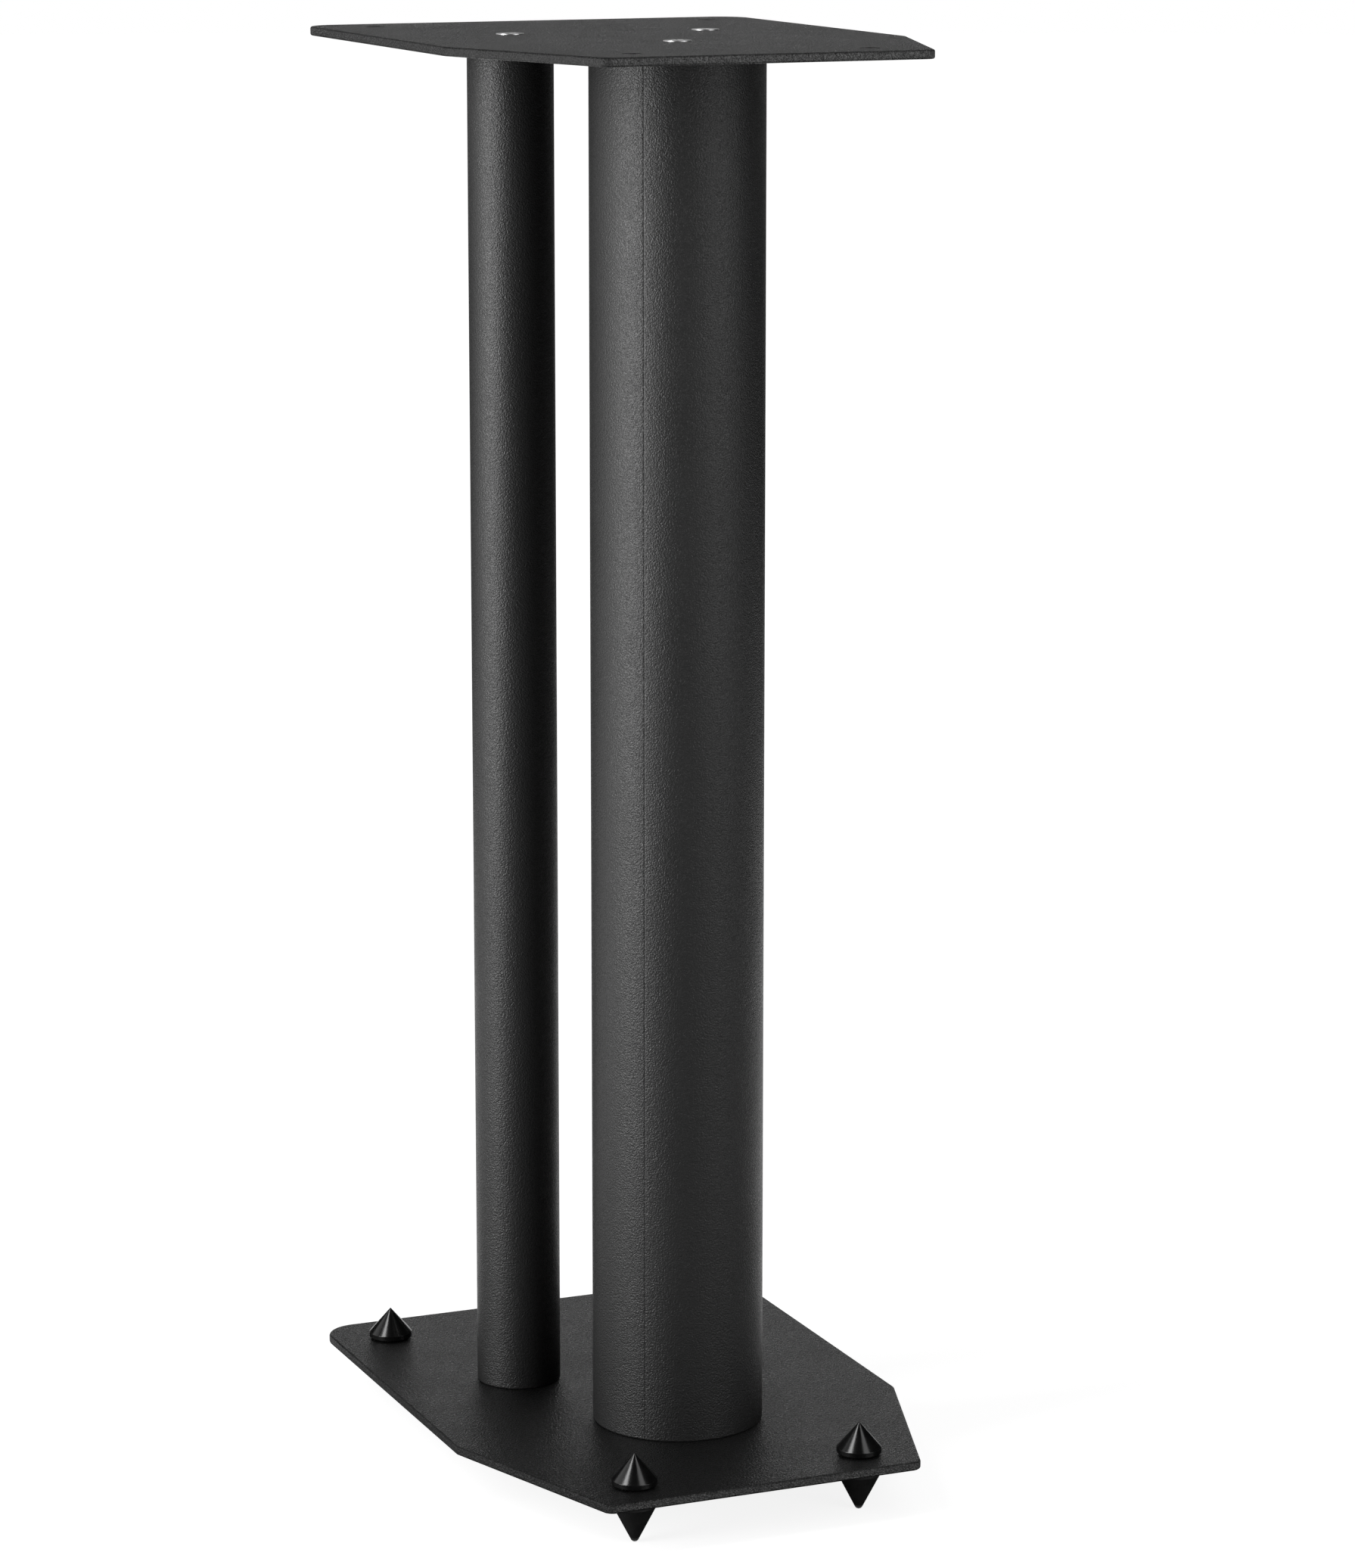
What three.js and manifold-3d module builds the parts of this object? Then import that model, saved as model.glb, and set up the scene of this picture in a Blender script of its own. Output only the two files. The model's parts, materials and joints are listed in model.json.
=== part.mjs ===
// Loudspeaker stand: a top plate and a base plate held apart by one thick front
// column and two thin rear columns, on four levelling spikes.
//
// Millimetres, +Z up. The floor is z = 0, the front of the stand faces -Y, and the
// origin is under the middle of the plates. The stand is symmetrical about x = 0.

import * as THREE from 'three';
import { mergeVertices } from 'three/addons/utils/BufferGeometryUtils.js';
import Module from 'manifold-3d';

const wasm = await Module();
wasm.setup();

// ---------------------------------------------------------------- driving sizes

// Plates: a rectangle whose two front corners are cut off by long slanting edges.
const PLATE_WIDTH = 214;
const PLATE_DEPTH = 283;
const PLATE_THICKNESS = 4;
const FRONT_EDGE_WIDTH = 148;
const SLANT_LENGTH = 98;
const REAR_CORNER_RADIUS = 15;
const FRONT_CORNER_RADIUS = 5;
const BEND_RADIUS = 6;

// Columns: round tubes, each closed at both ends by a disc welded inside it.
const COLUMN_LENGTH = 609.6;
const FRONT_COLUMN_DIAMETER = 76.2;
const FRONT_COLUMN_WALL = 2;
const REAR_COLUMN_DIAMETER = 38.1;
const REAR_COLUMN_WALL = 1.6;
const COLUMN_END_CHAMFER = 0.8;
const END_DISC_THICKNESS = 10;

// Where the columns stand: the front one behind the front edge, the rear pair behind it.
const FRONT_COLUMN_SETBACK = 100;
const REAR_COLUMN_SETBACK = 78.2;
const REAR_COLUMN_SPACING = 92.8;

// Countersunk screws, one through each plate into each column end.
const SCREW_DIAMETER = 6;
const SCREW_LENGTH = 18;
const SCREW_HEAD_DIAMETER = 12.3;
const SCREW_HEAD_EDGE = 0.4;
const SCREW_TIP_CHAMFER = 1;
const CROSS_RECESS_SPAN = 6.6;
const CROSS_RECESS_WIDTH = 1.3;
const CROSS_RECESS_DEPTH = 2;

// Levelling spikes: a threaded stud through the base plate, a spike screwed on under
// the plate and a cone-shaped lock nut on top of it.
const FRONT_SPIKE_INSET_X = 20.5;
const FRONT_SPIKE_INSET_Y = 21;
const REAR_SPIKE_INSET = 26;
const STUD_DIAMETER = 8;
const STUD_CHAMFER = 0.8;
const STUD_IN_SPIKE = 7.4;
const STUD_IN_CONE = 4.5;
const LEVELLING_TRAVEL = 3;
const SPIKE_DIAMETER = 19.2;
const SPIKE_TAPER = 16.5;
const SPIKE_RIM = 1.9;
const SPIKE_TIP_RADIUS = 1.7;
const SPIKE_TIP_FLAT = 0.9;
const SPIKE_TIP_ROUNDING = 1;
const CONE_DIAMETER = 20;
const CONE_RIM = 3;
const CONE_TAPER = 11.5;
const CONE_CHAMFER = 1;
const HOLE_BREAK = 0.7;

// Running clearances: round pieces in their holes, and the spare room at the end of a
// stroke or at the bottom of a blind hole.
const CLEARANCE = 0.3;
const END_ROOM = 0.5;

// How finely the round shapes are divided.
const FRONT_COLUMN_SIDES = 64;
const REAR_COLUMN_SIDES = 40;
const SPIKE_SIDES = 28;
const SMALL_SIDES = 20;
const CORNER_STEPS = 5;

// Cutters stand this far out of the faces that they cut, so that no cut is left with a
// skin, and corners closer than the merge distance are one corner.
const OVERCUT = 1;
const MERGE_DISTANCE = 1e-4;

// ---------------------------------------------------------------- sizes that follow

const halfWidth = PLATE_WIDTH / 2;
const frontEdgeY = -PLATE_DEPTH / 2;
const rearEdgeY = PLATE_DEPTH / 2;

const spikeHeight = SPIKE_TAPER + SPIKE_RIM;
const baseUnderside = spikeHeight + LEVELLING_TRAVEL + CLEARANCE;
const baseTop = baseUnderside + PLATE_THICKNESS;
const columnTop = baseTop + COLUMN_LENGTH;
const topFace = columnTop + PLATE_THICKNESS;

const studRadius = STUD_DIAMETER / 2;
const studHoleRadius = studRadius + CLEARANCE;
const screwRadius = SCREW_DIAMETER / 2;
const screwHoleRadius = screwRadius + CLEARANCE;
const screwHeadRadius = SCREW_HEAD_DIAMETER / 2;

const frontColumnY = frontEdgeY + FRONT_COLUMN_SETBACK;
const rearColumnY = frontColumnY + REAR_COLUMN_SETBACK;
const columns = [
  { name: 'front_column', x: 0, y: frontColumnY,
    diameter: FRONT_COLUMN_DIAMETER, wall: FRONT_COLUMN_WALL, sides: FRONT_COLUMN_SIDES },
  { name: 'rear_column_left', x: -REAR_COLUMN_SPACING / 2, y: rearColumnY,
    diameter: REAR_COLUMN_DIAMETER, wall: REAR_COLUMN_WALL, sides: REAR_COLUMN_SIDES },
  { name: 'rear_column_right', x: REAR_COLUMN_SPACING / 2, y: rearColumnY,
    diameter: REAR_COLUMN_DIAMETER, wall: REAR_COLUMN_WALL, sides: REAR_COLUMN_SIDES },
];

const frontSpikeX = FRONT_EDGE_WIDTH / 2 - FRONT_SPIKE_INSET_X;
const frontSpikeY = frontEdgeY + FRONT_SPIKE_INSET_Y;
const rearSpikeX = halfWidth - REAR_SPIKE_INSET;
const rearSpikeY = rearEdgeY - REAR_SPIKE_INSET;
const spikes = [
  { name: 'front_left', x: -frontSpikeX, y: frontSpikeY },
  { name: 'front_right', x: frontSpikeX, y: frontSpikeY },
  { name: 'rear_left', x: -rearSpikeX, y: rearSpikeY },
  { name: 'rear_right', x: rearSpikeX, y: rearSpikeY },
];

// ---------------------------------------------------------------- materials

const finish = (color, roughness, metalness) =>
  new THREE.MeshStandardMaterial({ color, roughness, metalness });
const texturedBlack = () => finish(0x1b1b1c, 0.6, 0.1);
const glossBlack = () => finish(0x0a0a0b, 0.15, 0.4);
const satinBlack = () => finish(0x121213, 0.4, 0.3);
const brightZinc = () => finish(0xc9cbcd, 0.25, 1);
const darkSteel = () => finish(0x55575a, 0.45, 0.9);

// ---------------------------------------------------------------- solids and booleans

// A closed mesh as a solid: only positions are kept and shared vertices are merged.
function toSolid(geometry) {
  const bare = geometry.clone();
  bare.deleteAttribute('normal');
  bare.deleteAttribute('uv');
  const merged = mergeVertices(bare, MERGE_DISTANCE);
  return new wasm.Manifold(new wasm.Mesh({
    numProp: 3,
    vertProperties: new Float32Array(merged.attributes.position.array),
    triVerts: new Uint32Array(merged.index.array),
  }));
}

function toGeometry(solid) {
  const mesh = solid.getMesh();
  const geometry = new THREE.BufferGeometry();
  geometry.setAttribute('position', new THREE.BufferAttribute(mesh.vertProperties, mesh.numProp));
  geometry.setIndex(new THREE.BufferAttribute(mesh.triVerts, 1));
  geometry.computeVertexNormals();
  return geometry;
}

function cut(geometry, cutters) {
  let solid = toSolid(geometry);
  for (const cutter of cutters) {
    solid = solid.subtract(toSolid(cutter));
  }
  return toGeometry(solid);
}

// A body turned about Z from [radius, height] pairs, listed anticlockwise as seen in
// the half plane with the radius to the right: outwards along the bottom, up, and back.
function turned(profile, sides) {
  const points = profile.map(([radius, height]) => new THREE.Vector2(radius, height));
  const geometry = new THREE.LatheGeometry(points, sides);
  geometry.rotateX(Math.PI / 2);
  return geometry;
}

// ---------------------------------------------------------------- plates

// A polygon with an arc of its own radius at each corner.
function roundedOutline(corners) {
  const shape = new THREE.Shape();
  corners.forEach((corner, i) => {
    const point = new THREE.Vector2(corner.x, corner.y);
    const before = corners.at(i - 1);
    const after = corners[(i + 1) % corners.length];
    const toBefore = new THREE.Vector2(before.x, before.y).sub(point).normalize();
    const toAfter = new THREE.Vector2(after.x, after.y).sub(point).normalize();
    const halfAngle = Math.acos(toBefore.dot(toAfter)) / 2;
    const tangent = corner.radius / Math.tan(halfAngle);
    const reach = corner.radius / Math.sin(halfAngle);
    const centre = toBefore.clone().add(toAfter).normalize().multiplyScalar(reach).add(point);
    const start = toBefore.multiplyScalar(tangent).add(point).sub(centre);
    const end = toAfter.multiplyScalar(tangent).add(point).sub(centre);
    let sweep = end.angle() - start.angle();
    if (sweep < 0) sweep += 2 * Math.PI;
    const steps = Math.max(1, Math.ceil(CORNER_STEPS * sweep / (Math.PI / 2)));
    for (let k = 0; k <= steps; k += 1) {
      const angle = start.angle() + sweep * k / steps;
      const x = centre.x + corner.radius * Math.cos(angle);
      const y = centre.y + corner.radius * Math.sin(angle);
      if (i === 0 && k === 0) shape.moveTo(x, y);
      else shape.lineTo(x, y);
    }
  });
  shape.closePath();
  return shape;
}

function plateOutline() {
  const halfFront = FRONT_EDGE_WIDTH / 2;
  const bendY = frontEdgeY + SLANT_LENGTH;
  return roundedOutline([
    { x: -halfFront, y: frontEdgeY, radius: FRONT_CORNER_RADIUS },
    { x: halfFront, y: frontEdgeY, radius: FRONT_CORNER_RADIUS },
    { x: halfWidth, y: bendY, radius: BEND_RADIUS },
    { x: halfWidth, y: rearEdgeY, radius: REAR_CORNER_RADIUS },
    { x: -halfWidth, y: rearEdgeY, radius: REAR_CORNER_RADIUS },
    { x: -halfWidth, y: bendY, radius: BEND_RADIUS },
  ]);
}

// The countersunk hole of a screw, for a plate from z = 0 to its thickness. The 90
// degree countersink opens at the plate's outer face, which is up or down.
function screwHoleCutter(x, y, opensUp) {
  const mouth = screwHeadRadius + CLEARANCE;
  const sinkDepth = mouth - screwHoleRadius;
  const profile = [
    [0, -OVERCUT],
    [screwHoleRadius, -OVERCUT],
    [screwHoleRadius, PLATE_THICKNESS - SCREW_HEAD_EDGE - sinkDepth],
    [mouth, PLATE_THICKNESS - SCREW_HEAD_EDGE],
    [mouth, PLATE_THICKNESS + OVERCUT],
    [0, PLATE_THICKNESS + OVERCUT],
  ];
  const cutter = turned(profile, SMALL_SIDES);
  if (!opensUp) {
    cutter.rotateX(Math.PI);
    cutter.translate(0, 0, PLATE_THICKNESS);
  }
  return cutter.translate(x, y, 0);
}

// A tapped corner hole with its edges broken on both faces.
function studHoleCutter(x, y) {
  const wide = studHoleRadius + HOLE_BREAK + OVERCUT;
  const profile = [
    [0, -OVERCUT],
    [wide, -OVERCUT],
    [studHoleRadius, HOLE_BREAK],
    [studHoleRadius, PLATE_THICKNESS - HOLE_BREAK],
    [wide, PLATE_THICKNESS + OVERCUT],
    [0, PLATE_THICKNESS + OVERCUT],
  ];
  return turned(profile, SMALL_SIDES).translate(x, y, 0);
}

// Both plates are the same pressing: the base plate lies with its countersinks down.
function plate(name, underside, outerFaceUp) {
  const blank = new THREE.ExtrudeGeometry(plateOutline(), {
    depth: PLATE_THICKNESS, bevelEnabled: false,
  });
  const cutters = [
    ...columns.map((column) => screwHoleCutter(column.x, column.y, outerFaceUp)),
    ...spikes.map((spike) => studHoleCutter(spike.x, spike.y)),
  ];
  const mesh = new THREE.Mesh(cut(blank, cutters), texturedBlack());
  mesh.name = name;
  mesh.position.z = underside;
  return mesh;
}

// ---------------------------------------------------------------- columns

function columnTube({ name, x, y, diameter, wall, sides }) {
  const outer = diameter / 2;
  const inner = outer - wall;
  const chamfer = Math.min(COLUMN_END_CHAMFER, wall / 2);
  const profile = [
    [inner, 0],
    [outer - chamfer, 0],
    [outer, chamfer],
    [outer, COLUMN_LENGTH - chamfer],
    [outer - chamfer, COLUMN_LENGTH],
    [inner, COLUMN_LENGTH],
    [inner, 0],
  ];
  const mesh = new THREE.Mesh(turned(profile, sides), texturedBlack());
  mesh.name = name;
  mesh.position.set(x, y, baseTop);
  return mesh;
}

// The disc welded inside a column's end, flush with it, tapped for the screw.
function endDisc({ name, x, y, diameter, wall, sides }, end, bottom) {
  const radius = diameter / 2 - wall - CLEARANCE;
  const profile = [
    [screwHoleRadius, 0],
    [radius, 0],
    [radius, END_DISC_THICKNESS],
    [screwHoleRadius, END_DISC_THICKNESS],
    [screwHoleRadius, 0],
  ];
  const mesh = new THREE.Mesh(turned(profile, sides / 2), darkSteel());
  mesh.name = `${name}_${end}_disc`;
  mesh.position.set(x, y, bottom);
  return mesh;
}

// ---------------------------------------------------------------- screws

// The arms of the cross recess, as the two cutters that make it.
function crossRecessCutters() {
  return [0, Math.PI / 2].map((turn) => {
    const arm = new THREE.BoxGeometry(CROSS_RECESS_SPAN, CROSS_RECESS_WIDTH, CROSS_RECESS_DEPTH + OVERCUT);
    arm.translate(0, 0, (OVERCUT - CROSS_RECESS_DEPTH) / 2);
    return arm.rotateZ(turn);
  });
}

// A countersunk screw with its head's face at z = 0 and its shank hanging below.
function screwGeometry() {
  const neck = -SCREW_HEAD_EDGE - (screwHeadRadius - screwRadius);
  const profile = [
    [0, -SCREW_LENGTH],
    [screwRadius - SCREW_TIP_CHAMFER, -SCREW_LENGTH],
    [screwRadius, -SCREW_LENGTH + SCREW_TIP_CHAMFER],
    [screwRadius, neck],
    [screwHeadRadius, -SCREW_HEAD_EDGE],
    [screwHeadRadius, 0],
    [0, 0],
  ];
  return cut(turned(profile, SMALL_SIDES), crossRecessCutters());
}

function columnScrew({ name, x, y }, end) {
  const geometry = screwGeometry();
  if (end === 'bottom') geometry.rotateX(Math.PI);
  const mesh = new THREE.Mesh(geometry, brightZinc());
  mesh.name = `${name}_${end}_screw`;
  mesh.position.set(x, y, end === 'top' ? topFace : baseUnderside);
  return mesh;
}

// ---------------------------------------------------------------- levelling spikes

// The spike's height above its tip where the stud ends, and the blind hole below it.
const studBottom = spikeHeight - STUD_IN_SPIKE;
const spikeHoleDepth = STUD_IN_SPIKE + END_ROOM;
const coneHoleDepth = STUD_IN_CONE + LEVELLING_TRAVEL + END_ROOM;
const studTop = baseTop + STUD_IN_CONE;

function stud({ name, x, y }) {
  const profile = [
    [0, studBottom],
    [studRadius - STUD_CHAMFER, studBottom],
    [studRadius, studBottom + STUD_CHAMFER],
    [studRadius, studTop - STUD_CHAMFER],
    [studRadius - STUD_CHAMFER, studTop],
    [0, studTop],
  ];
  const mesh = new THREE.Mesh(turned(profile, SMALL_SIDES), darkSteel());
  mesh.name = `stud_${name}`;
  mesh.position.set(x, y, 0);
  return mesh;
}

function floorSpike({ name, x, y }) {
  const radius = SPIKE_DIAMETER / 2;
  const profile = [
    [0, 0],
    [SPIKE_TIP_FLAT, 0],
    [SPIKE_TIP_RADIUS, SPIKE_TIP_ROUNDING],
    [radius, SPIKE_TAPER],
    [radius, spikeHeight],
    [studHoleRadius, spikeHeight],
    [studHoleRadius, spikeHeight - spikeHoleDepth],
    [0, spikeHeight - spikeHoleDepth],
  ];
  const mesh = new THREE.Mesh(turned(profile, SPIKE_SIDES), satinBlack());
  mesh.name = `floor_spike_${name}`;
  mesh.position.set(x, y, 0);
  return mesh;
}

function lockCone({ name, x, y }) {
  const radius = CONE_DIAMETER / 2;
  const profile = [
    [0, coneHoleDepth],
    [studHoleRadius, coneHoleDepth],
    [studHoleRadius, 0],
    [radius - CONE_CHAMFER, 0],
    [radius, CONE_CHAMFER],
    [radius, CONE_RIM],
    [0, CONE_RIM + CONE_TAPER],
  ];
  const mesh = new THREE.Mesh(turned(profile, SPIKE_SIDES), glossBlack());
  mesh.name = `lock_cone_${name}`;
  mesh.position.set(x, y, baseTop);
  return mesh;
}

// ---------------------------------------------------------------- assembly

const stand = new THREE.Group();
stand.name = 'speaker_stand';

stand.add(plate('top_plate', columnTop, true));
stand.add(plate('base_plate', baseUnderside, false));

for (const column of columns) {
  stand.add(columnTube(column));
  stand.add(endDisc(column, 'top', columnTop - END_DISC_THICKNESS));
  stand.add(endDisc(column, 'bottom', baseTop));
  stand.add(columnScrew(column, 'top'));
  stand.add(columnScrew(column, 'bottom'));
}

for (const spike of spikes) {
  stand.add(stud(spike));
  stand.add(floorSpike(spike));
  stand.add(lockCone(spike));
}

export default stand;
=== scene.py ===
# %% [markdown]
# # A loudspeaker stand in black steel
#
# The stand is two steel plates held apart by one thick tube and two thin ones, on four
# levelling spikes. Plates and tubes wear a textured black powder coat, the turned cones
# and spikes are smooth black, and the screws are bright zinc. This lesson dresses the
# plain construction model: each piece is modelled again with fine edges, put exactly
# where the plain one is, and given its finish.

# %% Load the construction model
import json
import math

import bmesh
import bpy
from mathutils import Matrix, Vector

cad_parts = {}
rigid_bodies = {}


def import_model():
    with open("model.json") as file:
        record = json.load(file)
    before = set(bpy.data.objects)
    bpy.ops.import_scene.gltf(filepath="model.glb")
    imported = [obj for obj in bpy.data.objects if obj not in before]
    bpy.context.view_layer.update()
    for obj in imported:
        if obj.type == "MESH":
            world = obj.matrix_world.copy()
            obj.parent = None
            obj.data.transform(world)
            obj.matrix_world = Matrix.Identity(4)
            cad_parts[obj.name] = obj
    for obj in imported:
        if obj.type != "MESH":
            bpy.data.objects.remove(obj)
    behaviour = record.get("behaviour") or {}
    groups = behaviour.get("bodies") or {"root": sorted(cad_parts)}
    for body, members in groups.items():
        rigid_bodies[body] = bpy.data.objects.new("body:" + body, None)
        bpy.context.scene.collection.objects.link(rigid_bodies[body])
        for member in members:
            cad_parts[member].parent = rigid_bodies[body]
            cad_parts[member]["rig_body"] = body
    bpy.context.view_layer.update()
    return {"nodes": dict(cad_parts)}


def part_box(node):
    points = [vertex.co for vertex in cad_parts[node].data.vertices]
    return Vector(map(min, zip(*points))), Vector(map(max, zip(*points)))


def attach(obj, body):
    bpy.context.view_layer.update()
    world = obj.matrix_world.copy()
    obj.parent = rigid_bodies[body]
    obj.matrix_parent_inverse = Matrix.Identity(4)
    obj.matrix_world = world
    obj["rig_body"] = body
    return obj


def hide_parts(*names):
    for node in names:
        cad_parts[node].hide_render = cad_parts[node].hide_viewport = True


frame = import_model()

# %% [markdown]
# ## The camera
#
# The picture was taken from a little higher than the top of the stand, to the left of its
# front, with a long lens. Such a place can be found by eye, but here it was worked out
# from the corners of the plates, so the camera is set by numbers: how far it stands from
# the thick tube, how high, and how much it looks down. A lens is given to Blender in
# millimetres for a 36 mm sensor, which covers the longer side of the picture.

# %% Place the camera
PHOTO_WIDTH = 1791
PHOTO_HEIGHT = 2072
FOCAL_LENGTH_IN_PIXELS = 6599
SENSOR_MM = 36
CAMERA_TURN = math.radians(-22.886)
CAMERA_TILT = math.radians(11.62)
CAMERA_DISTANCE = 2.1486
CAMERA_HEIGHT = 0.7578

column_low, column_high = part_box("front_column")
column_axis = (column_low + column_high) / 2
column_axis.z = 0


def around(turn, distance, height):
    """A point at this height and distance from the thick tube. Turn 0 is straight in front."""
    return column_axis + Vector((math.sin(turn) * distance, -math.cos(turn) * distance, height))


lens = bpy.data.cameras.new("photo_lens")
lens.sensor_width = SENSOR_MM
lens.lens = SENSOR_MM * FOCAL_LENGTH_IN_PIXELS / max(PHOTO_WIDTH, PHOTO_HEIGHT)
camera = bpy.data.objects.new("photo_camera", lens)
camera.location = around(CAMERA_TURN, CAMERA_DISTANCE, CAMERA_HEIGHT)
camera.rotation_euler = (math.pi / 2 - CAMERA_TILT, 0, CAMERA_TURN)
bpy.context.scene.collection.objects.link(camera)
bpy.context.scene.camera = camera
print("camera at", [round(c, 3) for c in camera.location], "lens", round(lens.lens, 1), "mm")

# %% [markdown]
# ## Small helpers for shader nodes
#
# Every finish below is a little network of nodes. Two helpers keep the cells short: one
# adds a node with its settings, the other joins two sockets.

# %% Node helpers


def add_node(tree, kind, **settings):
    """A new node of this kind, with its properties set by name."""
    node = tree.nodes.new(kind)
    for name, value in settings.items():
        setattr(node, name, value)
    return node


def join(tree, source, target):
    """Joins an output socket to an input socket."""
    tree.links.new(source, target)


# %% [markdown]
# ## The room: a white floor and an even sky
#
# The stand is seen against plain white. White that is made by turning up the lamps would
# also wash out the black paint, so the white is in the surroundings themselves: the sky
# and the floor look white to the camera and in reflections, but light the object only
# at a plain level. The Light Path node tells which kind of ray is asking.

# %% Which rays look straight at a surface


def seen_directly(tree):
    """A socket that is 1 for rays from the camera, mirrors and glass, and 0 for stray light."""
    path = add_node(tree, "ShaderNodeLightPath")
    seen = add_node(tree, "ShaderNodeMath", operation="MAXIMUM")
    any_of_them = add_node(tree, "ShaderNodeMath", operation="MAXIMUM")
    join(tree, path.outputs["Is Camera Ray"], seen.inputs[0])
    join(tree, path.outputs["Is Glossy Ray"], seen.inputs[1])
    join(tree, seen.outputs[0], any_of_them.inputs[0])
    join(tree, path.outputs["Is Transmission Ray"], any_of_them.inputs[1])
    return any_of_them.outputs[0]


# %% [markdown]
# The sky is one even tone all round. To the rays that look straight at it, it is white,
# and to the light that it sheds on the stand it is a dim grey.

# %% The sky
SKY_LEVEL = 0.15

world = bpy.data.worlds.new("white_room")
world.use_nodes = True
bpy.context.scene.world = world
sky = world.node_tree
sky_strength = add_node(sky, "ShaderNodeMapRange")
sky_strength.inputs["To Min"].default_value = SKY_LEVEL
sky_strength.inputs["To Max"].default_value = 1.0
join(sky, seen_directly(sky), sky_strength.inputs["Value"])
join(sky, sky_strength.outputs[0], sky.nodes["Background"].inputs["Strength"])
sky.nodes["Background"].inputs["Color"].default_value = (1, 1, 1, 1)
print("sky level", SKY_LEVEL)

# %% [markdown]
# The floor is grey paint with a white glow added for the rays that look straight at it.
# The paint takes the stand's shadow, so a soft one stays in the white. The glow is a
# little weaker near the stand, where the lamps add their own light, and full further off.

# %% Paint and glow of the floor
NEAR_GLOW = 0.86
FAR_GLOW = 1.0
FADE_REACH = 1.6
FLOOR_PAINT = 0.3

white_floor = bpy.data.materials.new("white_floor")
white_floor.use_nodes = True
tree = white_floor.node_tree
tree.nodes.clear()
paint = add_node(tree, "ShaderNodeBsdfDiffuse")
paint.inputs["Color"].default_value = (FLOOR_PAINT, FLOOR_PAINT, FLOOR_PAINT, 1)
place = add_node(tree, "ShaderNodeTexCoord")
from_middle = add_node(tree, "ShaderNodeVectorMath", operation="LENGTH")
fade = add_node(tree, "ShaderNodeMapRange", interpolation_type="SMOOTHSTEP")
fade.inputs["From Max"].default_value = FADE_REACH
fade.inputs["To Min"].default_value = NEAR_GLOW
fade.inputs["To Max"].default_value = FAR_GLOW
glow_strength = add_node(tree, "ShaderNodeMath", operation="MULTIPLY")
glow = add_node(tree, "ShaderNodeEmission")
both = add_node(tree, "ShaderNodeAddShader")
surface = add_node(tree, "ShaderNodeOutputMaterial")
join(tree, place.outputs["Object"], from_middle.inputs[0])
join(tree, from_middle.outputs["Value"], fade.inputs["Value"])
join(tree, seen_directly(tree), glow_strength.inputs[0])
join(tree, fade.outputs[0], glow_strength.inputs[1])
join(tree, glow_strength.outputs[0], glow.inputs["Strength"])
join(tree, paint.outputs[0], both.inputs[0])
join(tree, glow.outputs[0], both.inputs[1])
join(tree, both.outputs[0], surface.inputs["Surface"])
print("floor glow from", NEAR_GLOW, "to", FAR_GLOW)

# %% [markdown]
# The floor itself is a plain disc, wide enough that its rim lies far behind the stand. It
# isn't part of the object.

# %% Lay the floor
FLOOR_RADIUS = 12
FLOOR_SIDES = 64

floor_mesh = bmesh.new()
bmesh.ops.create_circle(floor_mesh, cap_ends=True, segments=FLOOR_SIDES, radius=FLOOR_RADIUS)
floor_data = bpy.data.meshes.new("floor")
floor_mesh.to_mesh(floor_data)
floor_mesh.free()
floor_data.materials.append(white_floor)
floor = bpy.data.objects.new("floor", floor_data)
bpy.context.scene.collection.objects.link(floor)
print("floor of", FLOOR_RADIUS, "m radius")

# %% [markdown]
# ## The lamps
#
# Black things show little of their own colour. What draws a black tube is the light that
# it mirrors, so the lamps are large soft boxes whose reflections run down the tubes as
# broad streaks: a tall one at the left, a fainter one at the right and a wide one behind
# and above. A fourth and much weaker one stands where the left one does and will light
# only the plates. Turns are in degrees round the stand, from where the camera stands.

# %% Soft boxes


def soft_box(name, turn, distance, height, aim_height, width, length, watts):
    """A rectangular lamp standing around the stand and aimed at the thick tube's axis."""
    lamp = bpy.data.lights.new(name, "AREA")
    lamp.shape = "RECTANGLE"
    lamp.size = width
    lamp.size_y = length
    lamp.energy = watts
    box = bpy.data.objects.new(name, lamp)
    box.location = around(CAMERA_TURN + math.radians(turn), distance, height)
    aim = Vector((column_axis.x, column_axis.y, aim_height)) - box.location
    box.rotation_euler = aim.to_track_quat("-Z", "Y").to_euler()
    bpy.context.scene.collection.objects.link(box)
    print(name, "at", [round(c, 2) for c in box.location])
    return box


AT_THE_LEFT = dict(turn=-61, distance=1.1, height=1.12, aim_height=1.12, width=0.44, length=2.2)
AT_THE_RIGHT = dict(turn=52, distance=1.3, height=1.2, aim_height=1.2, width=0.8, length=2.36)
HIGH_BEHIND = dict(turn=170, distance=0.9, height=2.3, aim_height=0.3, width=2.0, length=1.6)

left_box = soft_box("left_soft_box", watts=29, **AT_THE_LEFT)
soft_box("right_soft_box", watts=13, **AT_THE_RIGHT)
soft_box("top_soft_box", watts=8, **HIGH_BEHIND)
plate_box = soft_box("plate_soft_box", watts=4, **AT_THE_LEFT)

# %% [markdown]
# ## Cards
#
# A photographer of black things stands dark cards where the object should mirror nothing,
# and a grey one where it should mirror a little. Here they give the tubes their dark
# bands and keep the plates from mirroring the white room. The camera can't see them, and
# they throw no shadow. A card has a glow of its own, from 0 for black to 1 for white.

# %% What a card is


def card_material(name, level):
    """A card that looks this bright wherever it is mirrored."""
    material = bpy.data.materials.new(name)
    material.use_nodes = True
    tree = material.node_tree
    tree.nodes.clear()
    even = add_node(tree, "ShaderNodeEmission")
    even.inputs["Strength"].default_value = level
    surface = add_node(tree, "ShaderNodeOutputMaterial")
    join(tree, even.outputs[0], surface.inputs["Surface"])
    return material


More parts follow.
